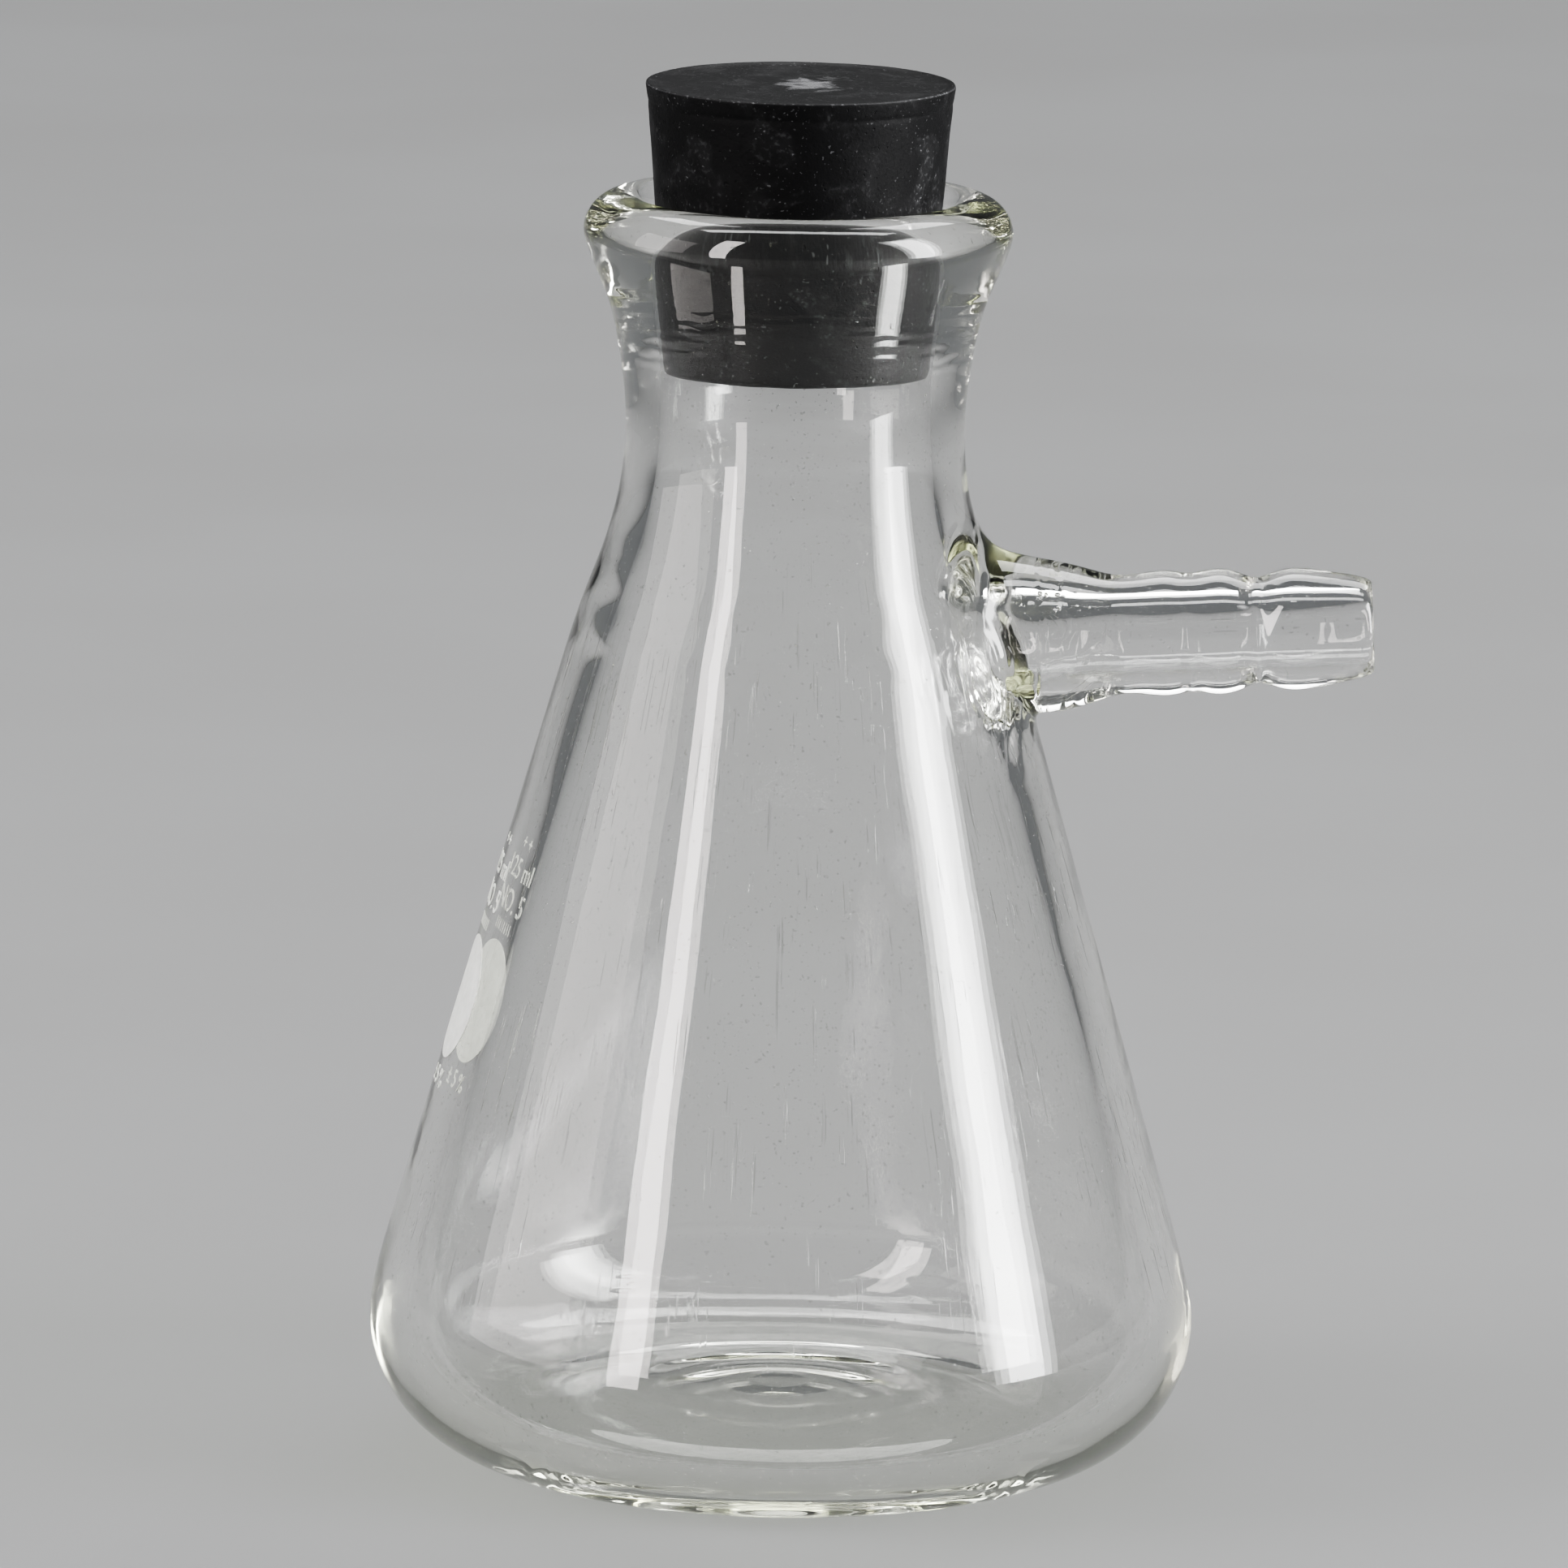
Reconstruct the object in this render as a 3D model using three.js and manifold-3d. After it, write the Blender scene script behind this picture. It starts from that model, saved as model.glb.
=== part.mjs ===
// Heavy-wall filtering flask: a glass flask with a welded side arm, a rubber stopper in its
// mouth, and white enamel marks fired on the wall. Millimetres, +Z up. The flask's axis is
// the Z axis, it stands on Z = 0, and the side arm points along +X.
import * as THREE from "three";
import { mergeVertices } from "three/addons/utils/BufferGeometryUtils.js";
import Module from "manifold-3d";

const wasm = await Module();
wasm.setup();

// Flask body
const CONE_HALF_ANGLE = THREE.MathUtils.degToRad(16.1);
const WALL = 3.3;
const FOOT_RING_INNER_R = 22.6;
const FOOT_RING_OUTER_R = 24.8;
const FOOT_RECESS = 0.5;
const HEEL_ROUND = 12.0;
const INNER_HEEL_ROUND = 8.4;
const FLOOR_EDGE_Z = 4.0;
const FLOOR_MIDDLE_Z = 4.6;
const FLOOR_MIDDLE_R = 10.0;
const CONE_TOP_Z = 73.2;
const RIM_TOP_Z = 112.6;
const RIM_BEAD_ROUND = 3.3;
const RIM_BEAD_CENTRE_R = 15.63;
const RIM_FLAT_INNER_R = 14.7;
const LIP_ROUND = 1.84;
const NECK_INNER_R = 11.7;

// Stopper, a No. 5: 27 mm top, 23 mm bottom, 25 mm long
const STOPPER_TOP_R = 13.5;
const STOPPER_BOTTOM_R = 11.5;
const STOPPER_LENGTH = 25.0;
const STOPPER_SEAT_Z = 97.5;
const STOPPER_EDGE_ROUND = 0.5;
const GAP = 0.3;

// Side arm, measured along its own axis from the flask's axis
const ARM_AXIS_Z = 72.5;
const ARM_TILT = THREE.MathUtils.degToRad(3.27);
const ARM_END = 51.2;
const ARM_BORE_R = 3.35;
const ARM_ROOT_BORE_R = 4.2;
const ARM_TIP_R = 4.3;
const ARM_TIP_ROUND = 0.7;
const ARM_FOOT_R = 11.6;
const ARM_FOOT_BACK = 13.6;

// Enamel marks on the wall
const MARK_AZIMUTH = THREE.MathUtils.degToRad(189);
const MARK_THICKNESS = 0.3;
const SPOT_DIAMETER = 10.9;
const SPOT_Z = 41.2;
const CAPACITY_SIZE = { width: 10.0, height: 8.6, z: 51.0 };
const TOLERANCE_SIZE = { width: 7.0, height: 3.4, z: 34.0 };

const BODY_SEGMENTS = 44;
const STOPPER_SEGMENTS = 40;
const ARM_SEGMENTS = 24;

const slope = Math.tan(CONE_HALF_ANGLE);
const coneStart = point(
  FOOT_RING_OUTER_R + HEEL_ROUND * Math.cos(CONE_HALF_ANGLE),
  HEEL_ROUND + HEEL_ROUND * Math.sin(CONE_HALF_ANGLE),
);

function point(r, z) {
  return new THREE.Vector2(r, z);
}

function arc(centreR, centreZ, radius, fromDegrees, toDegrees, steps) {
  const from = THREE.MathUtils.degToRad(fromDegrees);
  const to = THREE.MathUtils.degToRad(toDegrees);
  return new THREE.EllipseCurve(centreR, centreZ, radius, radius, from, to, to < from).getPoints(steps);
}

function smooth(pairs, steps) {
  return new THREE.SplineCurve(pairs.map(([r, z]) => point(r, z))).getPoints(steps);
}

// Outside radius of the straight cone, moved outwards by an offset along its normal.
function coneRadius(z, offset = 0) {
  return coneStart.x - slope * (z - coneStart.y) + offset / Math.cos(CONE_HALF_ANGLE);
}

// A turned solid about Z from a profile of (radius, height) points.
function turned(profile, segments) {
  return new THREE.LatheGeometry(profile, segments).rotateX(Math.PI / 2);
}

function toSolid(geometry) {
  const bare = geometry.clone();
  bare.deleteAttribute("normal");
  bare.deleteAttribute("uv");
  const merged = mergeVertices(bare, 1e-4);
  return new wasm.Manifold(new wasm.Mesh({
    numProp: 3,
    vertProperties: new Float32Array(merged.attributes.position.array),
    triVerts: new Uint32Array(merged.index.array),
  }));
}

function toGeometry(solid) {
  const mesh = solid.getMesh();
  const geometry = new THREE.BufferGeometry();
  geometry.setAttribute("position", new THREE.BufferAttribute(mesh.vertProperties, 3));
  geometry.setIndex(new THREE.BufferAttribute(mesh.triVerts, 1));
  geometry.computeVertexNormals();
  return geometry;
}

function named(name, geometry, material) {
  const mesh = new THREE.Mesh(geometry, material);
  mesh.name = name;
  return mesh;
}

const glass = new THREE.MeshStandardMaterial({
  color: 0xe4ebdd, roughness: 0.04, metalness: 0, transparent: true, opacity: 0.35,
});
const armGlass = new THREE.MeshStandardMaterial({
  color: 0xe2ecd8, roughness: 0.05, metalness: 0, transparent: true, opacity: 0.35,
});
const rubber = new THREE.MeshStandardMaterial({ color: 0x1b1b1c, roughness: 0.62, metalness: 0 });

function enamel() {
  return new THREE.MeshStandardMaterial({ color: 0xf0f0ec, roughness: 0.45, metalness: 0 });
}

// The wall's outside from the foot ring up to the rim's crest: heel arc, straight cone,
// shoulder, waisted neck, flare and beaded rim.
function outerProfile() {
  return [
    ...arc(FOOT_RING_OUTER_R, HEEL_ROUND, HEEL_ROUND, -90, THREE.MathUtils.radToDeg(CONE_HALF_ANGLE), 9),
    ...smooth([
      [coneRadius(CONE_TOP_Z), CONE_TOP_Z],
      [18.0, 78.0],
      [16.45, 82.2],
      [15.4, 86.4],
      [14.9, 90.2],
      [14.9, 93.6],
      [15.35, 97.4],
      [15.95, 101.0],
      [16.9, 104.3],
      [18.35, 107.0],
    ], 13),
    ...arc(RIM_BEAD_CENTRE_R, RIM_TOP_Z - RIM_BEAD_ROUND, RIM_BEAD_ROUND, -5, 90, 6),
  ];
}

// The wall's inside from the rim down to the floor: rounded lip, stopper taper, neck,
// shoulder, cone and heel.
function innerProfile() {
  const innerHeelZ = FLOOR_EDGE_Z + INNER_HEEL_ROUND;
  const innerHeelR = coneRadius(innerHeelZ, -WALL) - INNER_HEEL_ROUND / Math.cos(CONE_HALF_ANGLE);
  return [
    ...arc(RIM_FLAT_INNER_R, RIM_TOP_Z - LIP_ROUND, LIP_ROUND, 90, 180, 4),
    point(STOPPER_BOTTOM_R + GAP, STOPPER_SEAT_Z),
    ...smooth([
      [NECK_INNER_R, 92.5],
      [12.1, 87.8],
      [13.05, 83.2],
      [14.5, 78.4],
      [coneRadius(CONE_TOP_Z, -WALL), CONE_TOP_Z],
    ], 7),
    ...arc(innerHeelR, innerHeelZ, INNER_HEEL_ROUND, THREE.MathUtils.radToDeg(CONE_HALF_ANGLE), -90, 7),
    point(FLOOR_MIDDLE_R, FLOOR_MIDDLE_Z),
    point(0, FLOOR_MIDDLE_Z),
  ];
}

// Frame of the side arm: its +X runs along the arm, outwards and slightly up.
const armFrame = new THREE.Object3D();
armFrame.position.set(0, 0, ARM_AXIS_Z);
armFrame.rotation.y = -ARM_TILT;
armFrame.updateMatrix();

// A turned solid about the arm's own X axis from (radius, distance) points.
function turnedAlongArm(profile) {
  return new THREE.LatheGeometry(profile, ARM_SEGMENTS).rotateZ(-Math.PI / 2);
}

function flaskBody() {
  const shell = turned([
    point(0, FOOT_RECESS),
    point(FOOT_RING_INNER_R - 0.8, FOOT_RECESS),
    point(FOOT_RING_INNER_R, 0),
    ...outerProfile(),
    ...innerProfile(),
  ], BODY_SEGMENTS);
  const hole = turnedAlongArm([
    point(0, 8),
    point(ARM_ROOT_BORE_R, 8),
    point(ARM_ROOT_BORE_R, 24),
    point(0, 24),
  ]).applyMatrix4(armFrame.matrix);
  return named("flask_body", toGeometry(toSolid(shell).subtract(toSolid(hole))), glass);
}

// The hose connector: a trumpet foot that sits on the shoulder, three soft bulges with
// grooves between them for the hose, and a rounded tip. The foot is cut to the shoulder.
function sideArm() {
  const outside = smooth([
    [ARM_FOOT_R, 16.2],
    [9.3, 18.6],
    [7.6, 21.8],
    [6.25, 25.0],
    [5.2, 29.0],
    [5.55, 33.0],
    [5.2, 35.2],
    [5.58, 37.6],
    [4.7, 41.1],
    [5.4, 44.4],
    [4.95, 47.2],
    [4.62, 49.2],
  ], 30);
  const tube = turnedAlongArm([
    point(ARM_ROOT_BORE_R, ARM_FOOT_BACK),
    point(ARM_FOOT_R, ARM_FOOT_BACK),
    ...outside,
    ...arc(ARM_TIP_R - ARM_TIP_ROUND, ARM_END - ARM_TIP_ROUND, ARM_TIP_ROUND, 0, 90, 3),
    point(ARM_BORE_R, ARM_END),
    point(ARM_BORE_R, 25.0),
    point(ARM_ROOT_BORE_R, 21.0),
    point(ARM_ROOT_BORE_R, ARM_FOOT_BACK),
  ]);
  const clearOfBody = turned([
    point(0, 0),
    ...outerProfile().map((p) => point(p.x + GAP, p.y)),
    point(0, RIM_TOP_Z),
  ], BODY_SEGMENTS).applyMatrix4(armFrame.matrix.clone().invert());
  const mesh = named("side_arm", toGeometry(toSolid(tube).subtract(toSolid(clearOfBody))), armGlass);
  mesh.position.copy(armFrame.position);
  mesh.rotation.copy(armFrame.rotation);
  return mesh;
}

function stopper() {
  const taper = (STOPPER_TOP_R - STOPPER_BOTTOM_R) / STOPPER_LENGTH;
  const edge = STOPPER_EDGE_ROUND;
  const profile = [
    point(0, 0),
    point(STOPPER_BOTTOM_R - edge, 0),
    point(STOPPER_BOTTOM_R + taper * edge, edge),
    point(STOPPER_TOP_R - taper * edge, STOPPER_LENGTH - edge),
    point(STOPPER_TOP_R - edge, STOPPER_LENGTH),
    point(0, STOPPER_LENGTH),
  ];
  const mesh = named("stopper", turned(profile, STOPPER_SEGMENTS), rubber);
  mesh.position.z = STOPPER_SEAT_Z;
  return mesh;
}

// A thin conical skin just off the wall, which each mark is cut from.
function markSkin(fromZ, toZ) {
  const inner = GAP;
  const outer = GAP + MARK_THICKNESS;
  return toSolid(turned([
    point(coneRadius(fromZ, inner), fromZ),
    point(coneRadius(fromZ, outer), fromZ),
    point(coneRadius(toZ, outer), toZ),
    point(coneRadius(toZ, inner), toZ),
    point(coneRadius(fromZ, inner), fromZ),
  ], BODY_SEGMENTS));
}

function markSpot() {
  const punch = new THREE.CylinderGeometry(SPOT_DIAMETER / 2, SPOT_DIAMETER / 2, 30, 28)
    .rotateZ(-Math.PI / 2)
    .translate(30, 0, SPOT_Z);
  const solid = markSkin(SPOT_Z - SPOT_DIAMETER, SPOT_Z + SPOT_DIAMETER).intersect(toSolid(punch));
  return named("marking_spot", toGeometry(solid), enamel());
}

function printPatch(name, { width, height, z }) {
  const punch = new THREE.BoxGeometry(30, width, height).translate(30, 0, z);
  const solid = markSkin(z - height, z + height).intersect(toSolid(punch));
  return named(name, toGeometry(solid), enamel());
}

const marks = new THREE.Group();
marks.rotation.z = MARK_AZIMUTH;
marks.add(
  markSpot(),
  printPatch("capacity_print", CAPACITY_SIZE),
  printPatch("tolerance_print", TOLERANCE_SIZE),
);

const flask = new THREE.Group();
flask.add(flaskBody(), sideArm(), marks, stopper());

export default flask;
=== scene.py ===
import math
import random
import bmesh
import bpy
from mathutils import Matrix, Vector


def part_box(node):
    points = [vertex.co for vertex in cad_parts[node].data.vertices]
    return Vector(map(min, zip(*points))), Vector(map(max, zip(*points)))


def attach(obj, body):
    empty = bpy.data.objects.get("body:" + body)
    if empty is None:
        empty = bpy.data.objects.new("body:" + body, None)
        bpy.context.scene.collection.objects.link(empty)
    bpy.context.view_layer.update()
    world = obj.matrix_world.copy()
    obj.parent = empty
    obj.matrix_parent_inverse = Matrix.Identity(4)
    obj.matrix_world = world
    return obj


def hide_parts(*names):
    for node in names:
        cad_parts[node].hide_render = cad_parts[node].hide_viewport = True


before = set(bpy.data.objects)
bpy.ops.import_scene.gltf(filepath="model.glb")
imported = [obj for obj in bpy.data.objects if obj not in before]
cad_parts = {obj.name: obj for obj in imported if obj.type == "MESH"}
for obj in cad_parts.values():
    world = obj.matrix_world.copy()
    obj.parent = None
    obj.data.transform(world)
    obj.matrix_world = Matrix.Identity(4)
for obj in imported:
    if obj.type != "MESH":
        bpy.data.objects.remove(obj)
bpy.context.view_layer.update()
mm = 0.001  # the sizes below are in millimetres until they are multiplied by this


# shader arithmetic: a socket that adds, multiplies and compares like a number
class Wire:
    def __init__(self, tree, socket):
        self.tree = tree
        self.socket = socket

    @staticmethod
    def make(tree, kind, settings=None, sockets=None, out=0):
        node = tree.nodes.new(kind)
        for name, value in (settings or {}).items():
            setattr(node, name, value)
        for name, value in (sockets or {}).items():
            if isinstance(value, Wire):
                tree.links.new(value.socket, node.inputs[name])
            else:
                node.inputs[name].default_value = value
        return Wire(tree, node.outputs[out]) if node.outputs else None

    def maths(self, operation, first, second=0.0):
        return Wire.make(self.tree, "ShaderNodeMath", {"operation": operation}, {0: first, 1: second})

    def __add__(self, other):
        return self.maths("ADD", self, other)

    def __radd__(self, other):
        return self.maths("ADD", other, self)

    def __sub__(self, other):
        return self.maths("SUBTRACT", self, other)

    def __rsub__(self, other):
        return self.maths("SUBTRACT", other, self)

    def __mul__(self, other):
        return self.maths("MULTIPLY", self, other)

    def __rmul__(self, other):
        return self.maths("MULTIPLY", other, self)

    def between(self, low, high):  # 0 below low, 1 above high, soft in between
        settings = {"interpolation_type": "SMOOTHSTEP"}
        sockets = {"Value": self, "From Min": low, "From Max": high}
        return Wire.make(self.tree, "ShaderNodeMapRange", settings, sockets)

    def within(self, riseFrom, riseTo, fallFrom, fallTo):  # 1 in a band, soft at both edges
        return self.between(riseFrom, riseTo) * (1 - self.between(fallFrom, fallTo))


def newMaterial(name):
    material = bpy.data.materials.new(name)
    material.use_nodes = True
    material.node_tree.nodes.clear()
    return material, material.node_tree


def objectPlace(tree):
    return Wire.make(tree, "ShaderNodeTexCoord", out="Object")


def axisOf(tree, vector, axis):
    return Wire.make(tree, "ShaderNodeSeparateXYZ", {}, {0: vector}, out=axis)


def vectorMaths(tree, operation, out, *vectors):
    sockets = dict(enumerate(vectors))
    return Wire.make(tree, "ShaderNodeVectorMath", {"operation": operation}, sockets, out=out)


def noise(tree, place, scale, detail=3.0, distortion=0.0):
    sockets = {"Vector": place, "Scale": scale, "Detail": detail, "Distortion": distortion}
    return Wire.make(tree, "ShaderNodeTexNoise", {}, sockets)


def mixColours(tree, factor, first, second):
    sockets = {0: factor, 6: first, 7: second}
    return Wire.make(tree, "ShaderNodeMix", {"data_type": "RGBA"}, sockets, out=2)


def bump(tree, height, distance, strength=1.0):
    return Wire.make(tree, "ShaderNodeBump", {},
                     {"Height": height, "Distance": distance, "Strength": strength})


def finishMaterial(tree, surface, volume=None):
    sockets = {"Surface": surface}
    if volume:
        sockets["Volume"] = volume
    Wire.make(tree, "ShaderNodeOutputMaterial", {}, sockets)


# ways of working in edit mode
def clearSelection():
    if bpy.context.object and bpy.context.object.mode != "OBJECT":
        bpy.ops.object.mode_set(mode="OBJECT")
    bpy.ops.object.select_all(action="DESELECT")


def workOn(piece):
    clearSelection()
    piece.select_set(True)
    bpy.context.view_layer.objects.active = piece


def pullRings(name, rings, sides):
    # a circle pulled up and scaled ring by ring through (radius, height) pairs
    clearSelection()
    radius, height = rings[0]
    bpy.ops.mesh.primitive_circle_add(
        vertices=sides, radius=radius * mm, location=(0, 0, height * mm))
    piece = bpy.context.object
    piece.name = name
    bpy.ops.object.transform_apply(location=True, rotation=False, scale=False)
    bpy.ops.object.mode_set(mode="EDIT")
    bpy.ops.mesh.select_mode(type="EDGE")
    bpy.ops.mesh.select_all(action="SELECT")
    for nextRadius, nextHeight in rings[1:]:
        bpy.ops.mesh.extrude_region_move(
            TRANSFORM_OT_translate={"value": (0, 0, (nextHeight - height) * mm)})
        grow = nextRadius / radius
        bpy.ops.transform.resize(value=(grow, grow, 1), center_override=(0, 0, nextHeight * mm))
        radius, height = nextRadius, nextHeight
    return piece


def pickEdges(piece, wanted):
    bpy.ops.mesh.select_mode(type="EDGE")
    bpy.ops.mesh.select_all(action="DESELECT")
    mesh = bmesh.from_edit_mesh(piece.data)
    for edge in mesh.edges:
        if wanted(edge):
            edge.select_set(True)
    bmesh.update_edit_mesh(piece.data)


def pickFaces(piece, wanted):
    bpy.ops.mesh.select_mode(type="FACE")
    bpy.ops.mesh.select_all(action="DESELECT")
    mesh = bmesh.from_edit_mesh(piece.data)
    for face in mesh.faces:
        if wanted(face.calc_center_median() / mm):
            face.select_set(True)
    bmesh.update_edit_mesh(piece.data)


def arcRings(centreR, centreZ, radius, fromDegrees, toDegrees, steps):
    rings = []
    for step in range(steps + 1):
        angle = math.radians(fromDegrees + (toDegrees - fromDegrees) * step / steps)
        rings.append((centreR + radius * math.cos(angle), centreZ + radius * math.sin(angle)))
    return rings


def refine(piece, levels):
    workOn(piece)
    modifier = piece.modifiers.new("smooth", "SUBSURF")
    modifier.levels = levels
    modifier.render_levels = levels
    bpy.ops.object.modifier_apply(modifier=modifier.name)


def outwards(piece):
    workOn(piece)
    bpy.ops.object.mode_set(mode="EDIT")
    bpy.ops.mesh.select_all(action="SELECT")
    bpy.ops.mesh.remove_doubles(threshold=0.000001)
    bpy.ops.mesh.normals_make_consistent(inside=False)
    bpy.ops.object.mode_set(mode="OBJECT")


def hand(piece, material, body, slot, *nodes):
    # dress a finished piece, hang it on its body's empty and hide the CAD parts it stands in for
    workOn(piece)
    bpy.ops.object.shade_smooth_by_angle(angle=math.radians(60))
    piece.data.materials.clear()
    piece.data.materials.append(material)
    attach(piece, body)
    if nodes:
        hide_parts(*nodes)


# camera and studio
studio = {
    "cameraPlace": (37.3, -983.0, 257.3),
    "cameraTurn": 2.2,
    "cameraDip": 11.34,
    "cameraRoll": 0.945,
    "lens": 260.9,
    "clipEnd": 20,  # metres
    "floorReach": 2.4,  # metres each way
    "floorTone": 0.31,
    "floorRoughness": 0.7,
    "floorShine": 0.05,
    "worldTone": (0.14, 0.145, 0.15, 1),
    "look": "AgX - High Contrast",
    "glassBounces": 24,
    # each softbox: degrees round from the camera (left is minus), degrees up, distance, width,
    # height, watts
    "softboxes": {
        "stripLeft": (-43.0, 22, 900, 150, 1000, 7.0),
        "stripRight": (71.0, 22, 900, 360, 1000, 5.0),
        "stripRightMiddle": (71.0, 22, 905, 290, 940, 6.0),
        "stripRightCore": (71.0, 22, 910, 200, 880, 9.0),
        "panelLeft": (-80.0, 18, 1300, 800, 800, 4.0),
        "overhead": (0.0, 94, 1000, 1000, 150, 5.0),
        "backFill": (176.0, 56, 2600, 2400, 1000, 46.0),
        "sideLeft": (-78.0, 15, 1300, 700, 500, 13.0),
        "sideRight": (70.0, 15, 1300, 700, 500, 30.0),
    },
    "warm": (1.0, 0.94, 0.93),
    "warmLights": ("stripLeft", "panelLeft"),
    "dullLights": ("sideLeft", "sideRight"),  # these light rubber and enamel and leave the glass alone
    "mixedLights": ("panelLeft", "backFill"),  # the rest only make highlights in the glass
    "heart": 60,  # the height the lamps are turned to
}


def aim(degreesRound, rise, distance):
    # a place around the flask, counted from the camera's side
    facing = math.radians(-90 + studio["cameraTurn"] + degreesRound)
    up = math.radians(rise)
    level = math.cos(up)
    return Vector((level * math.cos(facing), level * math.sin(facing), math.sin(up))) * distance * mm


clearSelection()
bpy.ops.object.camera_add()
camera = bpy.context.object
turn = Matrix.Rotation(math.radians(studio["cameraTurn"]), 4, "Z")
dip = Matrix.Rotation(math.radians(90 - studio["cameraDip"]), 4, "X")
roll = Matrix.Rotation(math.radians(studio["cameraRoll"]), 4, "Z")
camera.matrix_world = Matrix.Translation(Vector(studio["cameraPlace"]) * mm) @ turn @ dip @ roll
camera.data.lens = studio["lens"]
camera.data.clip_end = studio["clipEnd"]
bpy.context.scene.camera = camera

clearSelection()
bpy.ops.mesh.primitive_plane_add(size=2 * studio["floorReach"])
floor = bpy.context.object
floor.name = "studio_floor"
material, tree = newMaterial("paleFloor")
pale = studio["floorTone"]
cloud = noise(tree, objectPlace(tree), 9.0).between(0.3, 0.7)
tone = mixColours(tree, cloud, (pale, pale, pale, 1), (pale * 1.04, pale * 1.045, pale * 1.05, 1))
finishMaterial(tree, Wire.make(tree, "ShaderNodeBsdfPrincipled", {}, {
    "Base Color": tone, "Roughness": studio["floorRoughness"],
    "Specular IOR Level": studio["floorShine"]}))
floor.data.materials.append(material)

world = bpy.data.worlds.new("studio")
world.use_nodes = True
world.node_tree.nodes["Background"].inputs["Color"].default_value = studio["worldTone"]
bpy.context.scene.world = world
bpy.context.scene.view_settings.look = studio["look"]
tracing = bpy.context.scene.cycles
tracing.caustics_reflective = False
tracing.caustics_refractive = False
tracing.max_bounces = studio["glassBounces"]  # thick glass sends light round inside it many times
tracing.glossy_bounces = studio["glassBounces"]
tracing.transmission_bounces = studio["glassBounces"]

heart = Vector((0, 0, studio["heart"] * mm))
for name, (degreesRound, rise, distance, width, height, watts) in studio["softboxes"].items():
    clearSelection()
    bpy.ops.object.light_add(type="AREA", location=heart + aim(degreesRound, rise, distance))
    lamp = bpy.context.object
    lamp.name = name
    lamp.rotation_euler = (heart - lamp.location).to_track_quat("-Z", "Y").to_euler()
    lamp.data.shape = "RECTANGLE"
    lamp.data.size = width * mm
    lamp.data.size_y = height * mm
    lamp.data.energy = watts
    if name in studio["warmLights"]:
        lamp.data.color = studio["warm"]
    lamp.visible_diffuse = name in studio["dullLights"] + studio["mixedLights"]
    lamp.visible_glossy = name not in studio["dullLights"]
    lamp.visible_transmission = name not in studio["dullLights"]
print("studio ready")

# flask glass: one fused piece, pressed and tooled, with the hose arm welded to its shoulder
glass = {
    "sides": 56,
    "heelRound": 12.0,
    "footR": 24.8,
    "coneLean": 16.1,  # degrees
    "wall": 3.43,  # measured level, through the cone
    "armZ": 72.5,
    "armRise": 3.27,  # degrees
    "armSides": 36,
    # faces dropped for each hole: how many to each side, lowest, highest
    "outerPatch": (10, 66.4, 84.0),
    "innerPatch": (8, 66.9, 79.9),
    "outerHole": (9.3, 10.9, 7.6, 73.6),  # half width, above, below, middle height
    "innerHole": (5.3, 5.6, 5.4, 73.4),
    "outerWeld": 5.95,  # open edges further than this from the arm's axis are the outer weld's
    "ior": 1.474,
    "tint": (0.83, 0.86, 0.60, 1),
    "tintDensity": 8.0,
    "clearShadow": (0.96, 0.965, 0.955, 1),
    "marked": (0.55, 0.55, 0.55, 1),  # what scratches and specks dull the glass to
    "relief": 0.0012,  # metres of bump that the next heights are shares of
    "ripple": 0.07,  # how wavy the drawn surface is
    "toolRings": 0.007,
    "toolBand": (97.5, 100.0, 104.5, 107.5),  # heights where the rings fade in and out
    "flow": 0.035,
    "fused": 0.06,
    "scratch": 0.016,
    "scratchRarity": (0.645, 0.685),
    "scratchBand": (14.0, 22.0, 70.0, 82.0),
    "speck": 0.012,
    "speckRarity": (0.80, 0.83),
    "swirlPlace": (17.0, -10.0, 71.5),  # where the weld's flow lines wind up
    "swirlReach": 7.5,
    "swirlPitch": 0.9,
    "seam": (21.6, 24.2),  # along the arm, where it was fused on
    "seamEdge": 0.7,
    "seamReach": 9.0,  # from the arm's axis
}
lean = math.tan(math.radians(glass["coneLean"]))
coneFoot = arcRings(glass["footR"], glass["heelRound"], glass["heelRound"], -90, glass["coneLean"], 7)


def coneR(height):
    return coneFoot[-1][0] - lean * (height - coneFoot[-1][1])


# profiles as (radius, height) rings, from the middle of the underside round to the floor inside
underside = [
    (3.0, 1.5), (6.0, 1.45), (8.4, 1.2), (10.4, 1.0), (14.4, 0.8), (19.5, 0.55), (22.4, 0.1), (23.6, 0.0),
]
outerWall = [
    *coneFoot,
    *[(coneR(height), height) for height in (24.0, 36.0, 48.0, 58.0, 64.2, 66.4, 68.6, 70.8, 73.0)],
    (18.98, 75.2), (18.24, 77.4), (17.37, 79.6), (16.58, 81.8), (15.96, 84.0), (15.3, 86.8),
    (14.92, 90.2), (14.88, 93.6), (15.3, 97.2), (15.85, 100.6), (16.7, 103.8), (17.85, 106.2),
]
rim = [*arcRings(15.63, 109.3, 3.3, -8, 90, 5), *arcRings(14.8, 110.7, 1.9, 95, 175, 3)]
innerWall = [
    (12.7, 108.0), (12.3, 103.4), (11.9, 98.4), (11.72, 93.4), (12.1, 88.0), (12.95, 83.6),
    (13.75, 81.0), (14.1, 79.9), (14.55, 78.6), (14.95, 77.3), (15.35, 76.0), (15.8, 74.7), (16.22, 73.4),
    *[(coneR(height) - glass["wall"], height)
      for height in (72.1, 70.8, 69.5, 68.2, 66.9, 64.0, 52.0, 38.0, 24.0)],
    *arcRings(25.0, 12.4, 8.4, glass["coneLean"], -90, 5),
]
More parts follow.
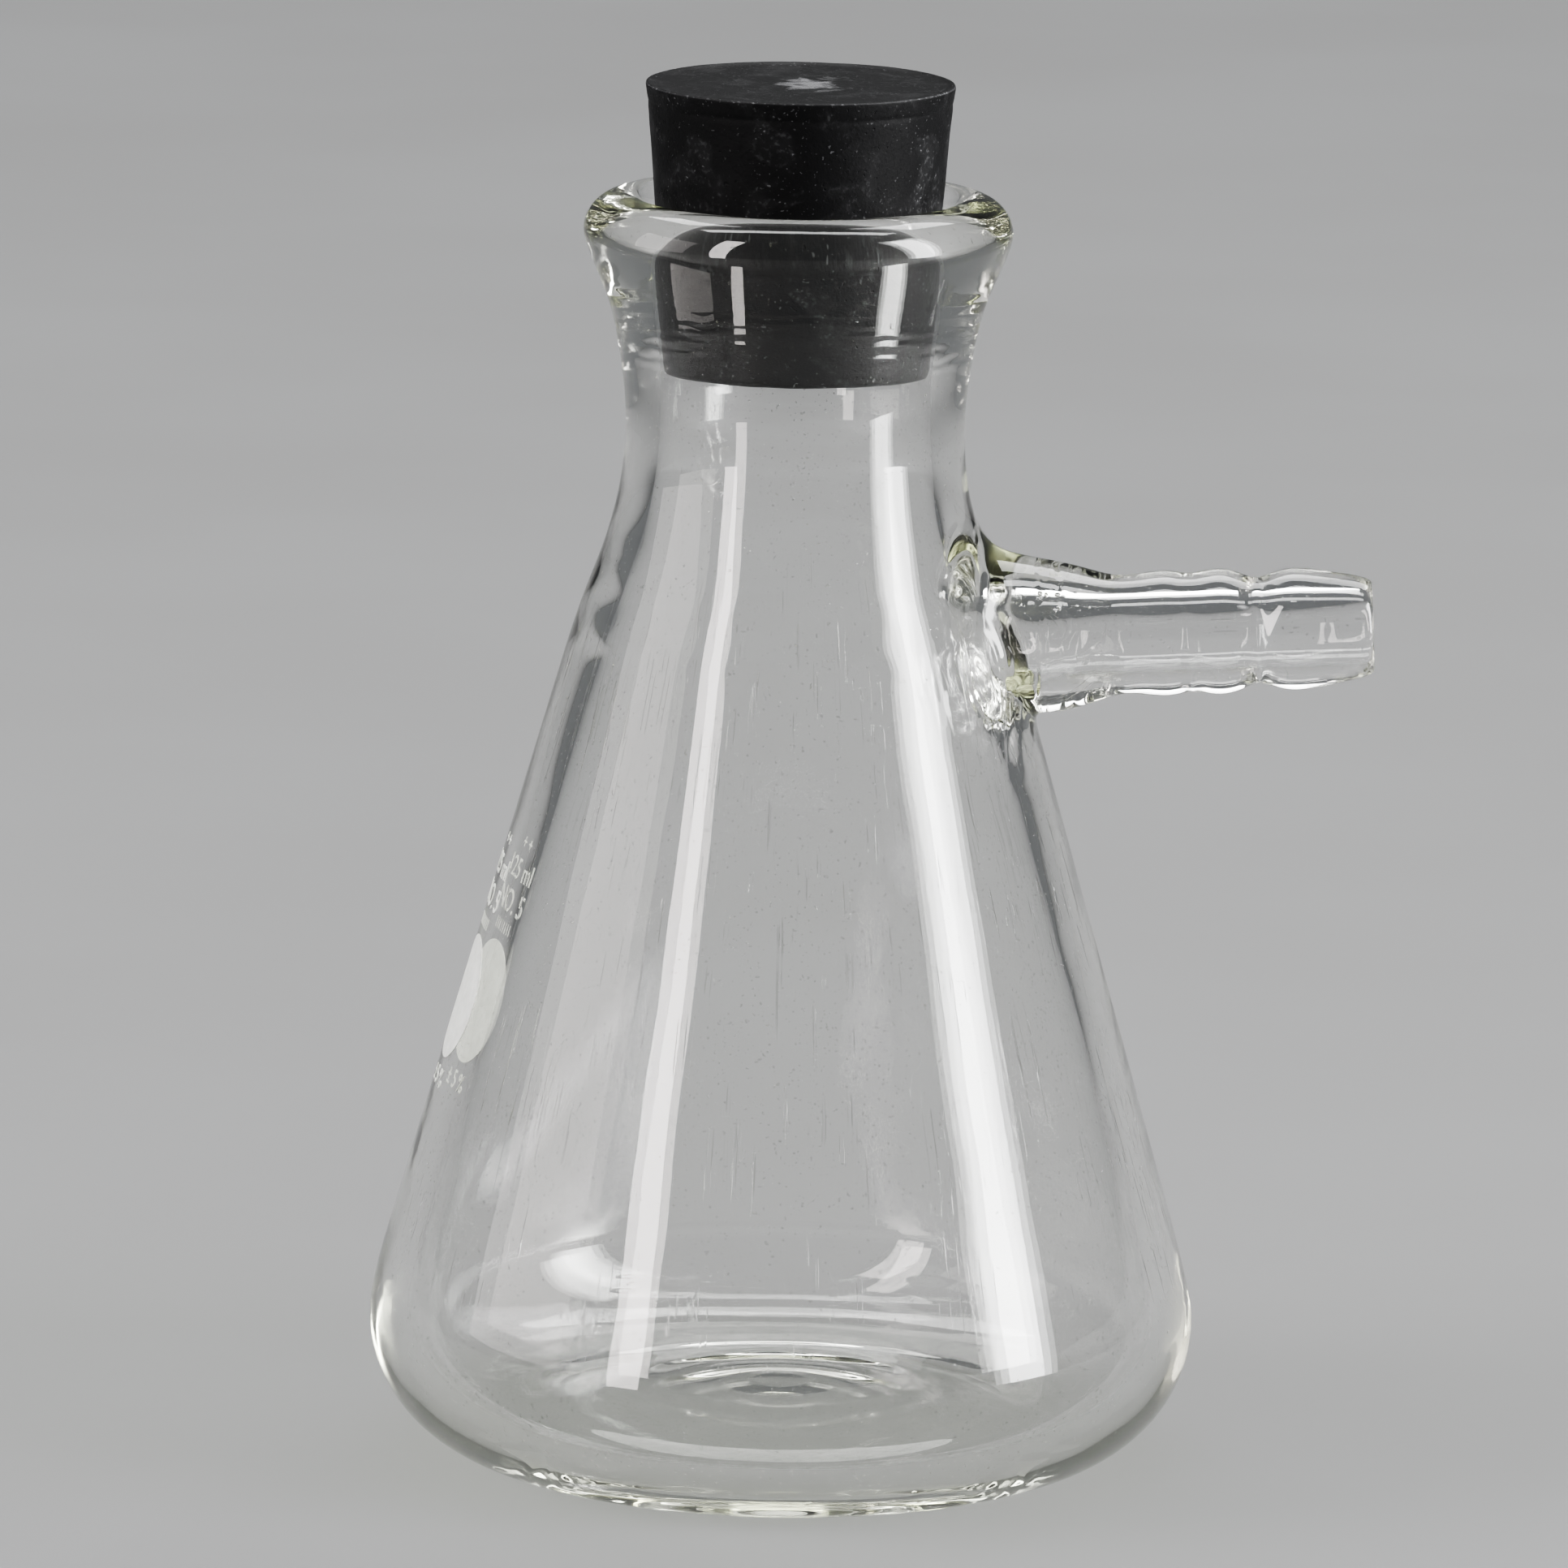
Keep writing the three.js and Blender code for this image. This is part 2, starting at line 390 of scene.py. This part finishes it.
floorRings = [(18.6, 4.15), (14.6, 4.5), (13.4, 4.75), (10.6, 4.55), (8.4, 4.95), (6.0, 4.85), (3.0, 5.2)]
bodyRings = [*underside, *outerWall, *rim, *innerWall, *floorRings]
# the arm's rings are (radius, distance from the flask's axis)
armRings = [
    (6.5, 24.5), (5.85, 26.6), (5.35, 28.2), (5.2, 29.4), (5.35, 30.8), (5.53, 32.2), (5.55, 33.4),
    (5.32, 34.4), (5.2, 35.3), (5.42, 36.4), (5.6, 37.6), (5.45, 38.8), (5.0, 39.9), (4.68, 40.7),
    (4.64, 41.3), (4.9, 42.0), (5.32, 43.2), (5.46, 44.4), (5.28, 45.9), (4.98, 47.5), (4.68, 49.3),
    (4.38, 50.5), (4.1, 51.1), (3.75, 51.25), (3.45, 51.1), (3.35, 50.5), (3.35, 46.0), (3.35, 38.0),
    (3.35, 30.0), (3.4, 24.0), (3.9, 21.0),
]
armTurn = Matrix.Rotation(math.radians(90 - glass["armRise"]), 4, "Y")
armMove = Matrix.Translation(Vector((0, 0, glass["armZ"] * mm)))
armIn = (armMove @ armTurn).inverted()


def radiusAt(rings, height):
    # the wall's radius at a height, from its own rings
    for (r0, z0), (r1, z1) in zip(rings, rings[1:]):
        if min(z0, z1) <= height <= max(z0, z1) and z0 != z1:
            return r0 + (r1 - r0) * (height - z0) / (z1 - z0)
    return rings[-1][0]


def offArm(point):
    # distance from the arm's axis, in millimetres
    local = armIn @ Vector(point)
    return math.hypot(local.x, local.y) / mm


def cutHole(piece, rings, patch, hole, isOuter):
    # drop a patch of faces, then draw its edge into an oval that lies on the wall
    sideFaces, low, high = patch
    halfAngle = math.radians(sideFaces * 180 / glass["sides"]) + 0.001

    def onWall(radius, height):
        middle = radiusAt(outerWall, height) - glass["wall"] / 2
        return radius > middle if isOuter else radius < middle

    pickFaces(piece, lambda c: abs(math.atan2(c.y, c.x)) < halfAngle and low < c.z < high
              and onWall(math.hypot(c.x, c.y), c.z))
    bpy.ops.mesh.delete(type="FACE")
    mesh = bmesh.from_edit_mesh(piece.data)
    wide, above, below, middle = hole
    edge = [v for v in mesh.verts if v.is_boundary and onWall(v.co.xy.length / mm, v.co.z / mm)
            and low - 3 < v.co.z / mm < high + 3]  # leaves out an edge that was cut elsewhere
    edge.sort(key=lambda v: math.atan2(v.co.z / mm - middle, v.co.y / mm))
    top = min(range(len(edge)), key=lambda i: abs(edge[i].co.y) - edge[i].co.z * 10)
    for index, vert in enumerate(edge):
        angle = math.pi / 2 + (index - top) * 2 * math.pi / len(edge)
        y = wide * math.cos(angle)
        rise = math.sin(angle)
        z = middle + (above if rise > 0 else below) * rise
        x = math.sqrt(radiusAt(rings, z) ** 2 - y ** 2)
        vert.co = Vector((x, y, z)) * mm
    bmesh.update_edit_mesh(piece.data)


body = pullRings("flask_glass", bodyRings, glass["sides"])
bpy.ops.mesh.fill_grid(span=glass["sides"] // 4)
pickEdges(body, lambda e: e.is_boundary)
bpy.ops.mesh.fill_grid(span=glass["sides"] // 4)
cutHole(body, outerWall, glass["outerPatch"], glass["outerHole"], True)
cutHole(body, innerWall, glass["innerPatch"], glass["innerHole"], False)
arm = pullRings("arm_glass", armRings, glass["armSides"])
bpy.ops.object.mode_set(mode="OBJECT")
arm.matrix_world = armMove @ armTurn
bpy.ops.object.transform_apply(location=True, rotation=True, scale=True)
workOn(body)
arm.select_set(True)
bpy.ops.object.join()
bpy.ops.object.mode_set(mode="EDIT")
weld = {"number_cuts": 3, "interpolation": "SURFACE", "smoothness": 0.9}
pickEdges(body, lambda e: e.is_boundary
          and offArm((e.verts[0].co + e.verts[1].co) / 2) > glass["outerWeld"])
bpy.ops.mesh.bridge_edge_loops(**weld)
pickEdges(body, lambda e: e.is_boundary)
bpy.ops.mesh.bridge_edge_loops(**weld)
outwards(body)
refine(body, 2)
print("flask glass has", len(body.data.polygons), "faces")

# small folds and lumps where the arm was welded on, strongest low on the near side
folds = {
    "height": 0.22,
    "size": 2.8,
    "distortion": 1.4,
    "place": (18.6, -8.6, 68.2),
    "reach": 6.5,
    "steepness": 1.6,
    "offArm": 5.0,  # the bore inside this distance from the arm's axis stays smooth
}
workOn(body)
weldGroup = body.vertex_groups.new(name="weld")
foldPlace = Vector(folds["place"]) * mm
for vert in body.data.vertices:
    near = 1 - (vert.co - foldPlace).length / (folds["reach"] * mm)
    if near > 0 and offArm(vert.co) > folds["offArm"]:
        weldGroup.add([vert.index], min(1.0, folds["steepness"] * near), "REPLACE")
foldTexture = bpy.data.textures.new("weldFolds", "DISTORTED_NOISE")
foldTexture.noise_scale = folds["size"] * mm
foldTexture.distortion = folds["distortion"]
modifier = body.modifiers.new("folds", "DISPLACE")
modifier.texture = foldTexture
modifier.texture_coords = "LOCAL"
modifier.vertex_group = "weld"
modifier.mid_level = 0.5
modifier.strength = folds["height"] * mm
bpy.ops.object.modifier_apply(modifier=modifier.name)
body.vertex_groups.clear()


def flowLines(tree, place):
    # lines of flow, wound round one place at the foot of the weld
    centre = Vector(glass["swirlPlace"]) * mm
    reach = glass["swirlReach"] * mm
    away = vectorMaths(tree, "DISTANCE", "Value", place, centre)
    offset = vectorMaths(tree, "SUBTRACT", "Vector", place, centre)
    loops = Wire.make(tree, "ShaderNodeMapping", {}, {
        "Vector": offset, "Rotation": (0.0, -0.35, 0.0), "Scale": (1.0, 0.8, 0.42)})
    turns = 2 * math.pi / 20 / (glass["swirlPitch"] * mm)
    kind = {"wave_type": "RINGS", "rings_direction": "SPHERICAL"}
    lines = Wire.make(tree, "ShaderNodeTexWave", kind, {
        "Vector": loops, "Scale": turns, "Distortion": 9.0, "Detail": 1.0, "Detail Scale": 0.5},
        out="Fac")
    patchy = noise(tree, place, 420.0, detail=1.0).between(0.36, 0.58)
    return lines * patchy * (1 - away.between(reach * 0.35, reach))


def fusedSeam(tree, place):
    # the uneven ring left where the arm was fused to the shoulder
    along = (armTurn @ Vector((0, 0, 1))).normalized()
    start = Vector((0, 0, glass["armZ"] * mm)).dot(along)
    wander = noise(tree, place, 260.0, detail=1.0) * 0.0016 - 0.0008
    reached = vectorMaths(tree, "DOT_PRODUCT", "Value", place, along) - start + wander
    low, high = (edge * mm for edge in glass["seam"])
    soft = glass["seamEdge"] * mm
    axisHeight = glass["armZ"] * mm + math.tan(math.radians(glass["armRise"])) * low
    fromAxis = Wire.make(tree, "ShaderNodeMapping", {}, {
        "Vector": place, "Location": (0.0, 0.0, -axisHeight), "Scale": (0.0, 1.0, 1.0)})
    fromAxis = vectorMaths(tree, "LENGTH", "Value", fromAxis)
    ring = reached.within(low, low + soft, high - soft, high)
    reach = glass["seamReach"] * mm
    return ring * (1 - fromAxis.between(reach * 0.8, reach))


def scratches(tree, place):
    # a few fine lines drawn up and down the wall, as wiping leaves them
    x, y, z = (axisOf(tree, place, axis) for axis in "XYZ")
    across = y.maths("ARCTAN2", y, x) * 0.03
    along = z + noise(tree, place, 60.0) * 0.01
    lined = Wire.make(tree, "ShaderNodeCombineXYZ", {}, {"X": across, "Y": along * 0.02})
    broken = Wire.make(tree, "ShaderNodeCombineXYZ", {}, {"X": across, "Y": along * 0.22})
    fine = noise(tree, lined, 3000.0, detail=2.0).between(*glass["scratchRarity"])
    lengths = noise(tree, broken, 420.0, detail=1.0).between(0.53, 0.60)
    return fine * lengths * z.within(*[height * mm for height in glass["scratchBand"]])


def glassMaterial(name):
    material, tree = newMaterial(name)
    place = objectPlace(tree)
    ripple = noise(tree, place, 70.0, detail=1.0) * glass["ripple"]
    marks = scratches(tree, place)
    specks = noise(tree, place, 3200.0, detail=0.0).between(*glass["speckRarity"])
    tooled = axisOf(tree, place, "Z").within(*[height * mm for height in glass["toolBand"]])
    toolRings = tooled * Wire.make(tree, "ShaderNodeTexWave", {"bands_direction": "Z"}, {
        "Vector": place, "Scale": 250.0, "Distortion": 2.4, "Detail": 2.0}, out="Fac")
    swirl = flowLines(tree, place) * glass["flow"] + fusedSeam(tree, place) * glass["fused"]
    damage = marks * glass["scratch"] + specks * glass["speck"]
    bumps = bump(tree, ripple + toolRings * glass["toolRings"] + swirl + damage, glass["relief"])
    rough = marks * 0.10 + specks * 0.12
    colour = mixColours(tree, marks * 0.4 + specks * 0.6, (1, 1, 1, 1), glass["marked"])
    surface = Wire.make(tree, "ShaderNodeBsdfPrincipled", {}, {
        "Base Color": colour, "Roughness": rough, "IOR": glass["ior"], "Transmission Weight": 1.0,
        "Normal": bumps})
    clear = Wire.make(tree, "ShaderNodeBsdfTransparent", {}, {"Color": glass["clearShadow"]})
    shadow = Wire.make(tree, "ShaderNodeLightPath", out="Is Shadow Ray")
    seen = Wire.make(tree, "ShaderNodeMixShader", {}, {0: shadow, 1: surface, 2: clear})
    inside = Wire.make(tree, "ShaderNodeVolumeAbsorption", {}, {
        "Color": glass["tint"], "Density": glass["tintDensity"]})
    finishMaterial(tree, seen, inside)
    return material


hand(body, glassMaterial("clearGlass"), "flask", "flask_glass", "flask_body", "side_arm")
print("glass dressed")

# seeds: small air bubbles caught in the weld
seeds = {
    "count": 16,
    "seed": 7,
    "size": (0.10, 0.26),
    "round": (-2.6, -0.2),  # where round the arm, along it and out from its axis
    "along": (21.6, 25.4),
    "out": (4.9, 6.2),
}
random.seed(seeds["seed"])
clearSelection()
bubbles = []
for index in range(seeds["count"]):
    angle = random.uniform(*seeds["round"])
    along = random.uniform(*seeds["along"])
    across = random.uniform(*seeds["out"])
    size = random.uniform(*seeds["size"])
    onArm = Vector((across * math.sin(angle), across * math.cos(angle), along)) * mm
    spot = armMove @ armTurn @ onArm
    bpy.ops.mesh.primitive_ico_sphere_add(subdivisions=2, radius=size * mm, location=spot)
    bubble = bpy.context.object
    bubble.scale = (random.uniform(0.7, 1.3), 1.0, random.uniform(0.8, 1.2))
    bubbles.append(bubble)
clearSelection()
for bubble in bubbles:
    bubble.select_set(True)
bpy.context.view_layer.objects.active = bubbles[0]
bpy.ops.object.transform_apply(location=True, rotation=True, scale=True)
bpy.ops.object.join()
bubbles[0].name = "glass_seeds"
material, tree = newMaterial("airSeed")
wobble = bump(tree, noise(tree, objectPlace(tree), 3000.0), 0.00003)
finishMaterial(tree, Wire.make(tree, "ShaderNodeBsdfPrincipled", {}, {
    "Base Color": (1, 1, 1, 1), "Roughness": 0.0, "IOR": 1 / glass["ior"], "Transmission Weight": 1.0,
    "Normal": wobble}))
hand(bubbles[0], material, "flask", "flask_glass")

# rubber stopper: moulded taper with a dished top, a thin lip of flash and a line under it
rubberLow, rubberHigh = (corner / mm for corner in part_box("stopper"))
stopper = {
    "sides": 64,
    "bottomR": 11.5,
    "topR": rubberHigh.x,
    "low": rubberLow.z,
    "high": rubberHigh.z,
    "uneven": 0.14,
    "unevenSize": 5,
    "black": (0.009, 0.009, 0.0095, 1),
    # pale grey for dust, also used for a painted highlight along the lip
    "dustAndHighlight": (0.34, 0.34, 0.35, 1),
    "roughness": 0.54,
    "shine": 0.14,
    "relief": 0.00006,  # metres
    "scuffPlace": (1.0, 0.714, 122.14),
    "scuffReach": (5.0, 7.143, 20.0),
}


def stopperR(height):
    share = (height - stopper["low"]) / (stopper["high"] - stopper["low"])
    return stopper["bottomR"] + (stopper["topR"] - stopper["bottomR"]) * share


sideRings = [(stopperR(z), z) for z in (98.1, 100.0, 104.0, 108.0, 112.0, 115.5, 118.4, 119.9)]
plug = pullRings("rubber_stopper", [
    (2.6, 97.6), (6.0, 97.6), (9.6, 97.5), (10.9, 97.55), (11.4, 97.75),
    *sideRings,
    (13.30, 120.5), (13.27, 120.8), (13.36, 121.05), (13.42, 121.4), (13.5, 121.95), (13.56, 122.3),
    (13.45, 122.46), (13.2, 122.42), (13.0, 122.3), (12.6, 122.22), (11.6, 122.19), (9.4, 122.17),
    (6.2, 122.15), (2.6, 122.14),
], stopper["sides"])
bpy.ops.mesh.fill_grid(span=stopper["sides"] // 4)
pickEdges(plug, lambda e: e.is_boundary)
bpy.ops.mesh.fill_grid(span=stopper["sides"] // 4)
outwards(plug)
refine(plug, 2)
unevenTexture = bpy.data.textures.new("rubberUneven", "CLOUDS")
unevenTexture.noise_scale = stopper["unevenSize"] * mm
modifier = plug.modifiers.new("uneven", "DISPLACE")
modifier.texture = unevenTexture
modifier.texture_coords = "LOCAL"
modifier.mid_level = 0.5
modifier.strength = stopper["uneven"] * mm
bpy.ops.object.modifier_apply(modifier=modifier.name)

material, tree = newMaterial("blackRubber")
place = objectPlace(tree)
facing = Wire.make(tree, "ShaderNodeNewGeometry", out="Normal")
tilt = axisOf(tree, facing, "Z")
upward = tilt.between(0.55, 0.95)
# the rounded lip edge, which gets a painted highlight below
lip = tilt.within(0.05, 0.35, 0.6, 0.95)
smudge = noise(tree, place, 190.0, detail=5.0, distortion=1.2).between(0.46, 0.72)
fine = noise(tree, place, 2100.0, detail=3.0).between(0.50, 0.74)
grow = Vector([1 / (reach * mm) for reach in stopper["scuffReach"]])
scuffPlace = Wire.make(tree, "ShaderNodeMapping", {}, {
    "Vector": place, "Location": -Vector(stopper["scuffPlace"]) * mm * grow, "Scale": grow})
kind = {"gradient_type": "SPHERICAL"}
scuff = Wire.make(tree, "ShaderNodeTexGradient", kind, {0: scuffPlace}, out=1)
torn = noise(tree, place, 420.0, detail=5.0, distortion=0.8)
scuffed = (scuff * 0.55 + torn).between(0.70, 0.92) * scuff.between(0.0, 0.25)
specks = noise(tree, place, 4200.0, detail=0.0).between(0.74, 0.79)
specks = specks * noise(tree, place, 420.0).between(0.42, 0.62)
onTop = smudge * 0.05 + fine * 0.05 + scuffed * 0.6
onSide = smudge * 0.03 + smudge * fine * 0.16
# painted highlight: the rounded lip is made lighter all round, broken up by fine noise
paintedLipHighlight = 0.10 + fine * 0.35
# dust on the top and sides, plus the painted highlight on the lip
dustAndLipHighlight = upward * onTop + (1 - upward) * onSide + lip * paintedLipHighlight
colour = mixColours(tree, dustAndLipHighlight + specks * 0.26, stopper["black"], stopper["dustAndHighlight"])
grain = noise(tree, place, 3400.0, detail=3.0)
pits = noise(tree, place, 1700.0, detail=1.0).between(0.20, 0.28)
relief = bump(tree, grain * 0.6 + pits + fine * 0.3, stopper["relief"], strength=0.7)
finishMaterial(tree, Wire.make(tree, "ShaderNodeBsdfPrincipled", {}, {
    "Base Color": colour, "Roughness": stopper["roughness"] + dustAndLipHighlight * 0.4 + fine * 0.12,
    "Specular IOR Level": stopper["shine"], "Normal": relief}))
hand(plug, material, "stopper", "stopper_rubber", "stopper")
print("stopper ready")

# white enamel fired on the wall
spotLow, spotHigh = (corner.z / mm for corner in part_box("marking_spot"))
enamel = {
    "turn": 189.0,  # degrees round from the arm
    "thick": 0.10,
    "spotSize": spotHigh - spotLow,
    "spotHeight": (spotHigh + spotLow) / 2,
    "spotSides": 40,
    "white": (0.80, 0.80, 0.77, 1),
    "worn": (0.68, 0.68, 0.65, 1),
    "relief": 0.00003,  # metres
    "letterScale": 1.35,  # text size for a letter height of 1
    # words, letter height, middle height
    "above": (
        ("+ +", 1.3, 55.4), ("125 ml", 1.9, 53.1), ("NO. 5", 2.1, 50.3), ("| | | | | | | |", 0.8, 48.1),
    ),
    "below": (("± 5 %", 1.7, 34.2),),
}
enamelWhite, tree = newMaterial("whiteEnamel")
place = objectPlace(tree)
thin = noise(tree, place, 900.0, detail=4.0).between(0.25, 0.75)
colour = mixColours(tree, thin, enamel["worn"], enamel["white"])
relief = bump(tree, noise(tree, place, 2600.0), enamel["relief"])
finishMaterial(tree, Wire.make(tree, "ShaderNodeBsdfPrincipled", {}, {
    "Base Color": colour, "Roughness": 0.38 + thin * 0.2, "Normal": relief}))


def wrapOnWall(piece):
    # lay a flat mark, drawn in X and Y about its middle, round the cone and give it thickness
    workOn(piece)
    for vert in piece.data.vertices:
        across, height = vert.co.x, vert.co.y
        radius = coneR(height / mm) * mm
        angle = math.radians(enamel["turn"]) + across / radius
        vert.co = Vector((math.cos(angle) * radius, math.sin(angle) * radius, height))
    hug = piece.modifiers.new("hug", "SHRINKWRAP")
    hug.target = body
    hug.offset = 0.0
    bpy.ops.object.modifier_apply(modifier=hug.name)
    skin = piece.modifiers.new("skin", "SOLIDIFY")
    skin.thickness = enamel["thick"] * mm
    skin.offset = 0.0
    bpy.ops.object.modifier_apply(modifier=skin.name)
    outwards(piece)


def printed(name, lines, node, slot):
    clearSelection()
    parts = []
    for words, size, height in lines:
        bpy.ops.object.text_add()
        text = bpy.context.object
        text.data.body = words
        text.data.size = size * mm * enamel["letterScale"]
        text.data.align_x = "CENTER"
        text.data.resolution_u = 4
        bpy.ops.object.convert(target="MESH")
        text.location = (0, (height - size / 2) * mm, 0)
        bpy.ops.object.transform_apply(location=True, rotation=False, scale=False)
        parts.append(text)
    clearSelection()
    for part in parts:
        part.select_set(True)
    bpy.context.view_layer.objects.active = parts[0]
    if len(parts) > 1:
        bpy.ops.object.join()
    parts[0].name = name
    wrapOnWall(parts[0])
    hand(parts[0], enamelWhite, "flask", slot, node)


printed("capacity_enamel", enamel["above"], "capacity_print", "capacity_enamel")
printed("tolerance_enamel", enamel["below"], "tolerance_print", "tolerance_enamel")
spotRings = [(enamel["spotSize"] / 2 * (1 - k / 8), 0) for k in range(8)]
spot = pullRings("spot_enamel", spotRings, enamel["spotSides"])
bpy.ops.mesh.edge_face_add()
bpy.ops.mesh.select_all(action="SELECT")
bpy.ops.transform.translate(value=(0, enamel["spotHeight"] * mm, 0))
bpy.ops.object.mode_set(mode="OBJECT")
wrapOnWall(spot)
hand(spot, enamelWhite, "flask", "spot_enamel", "marking_spot")
print("enamel ready")
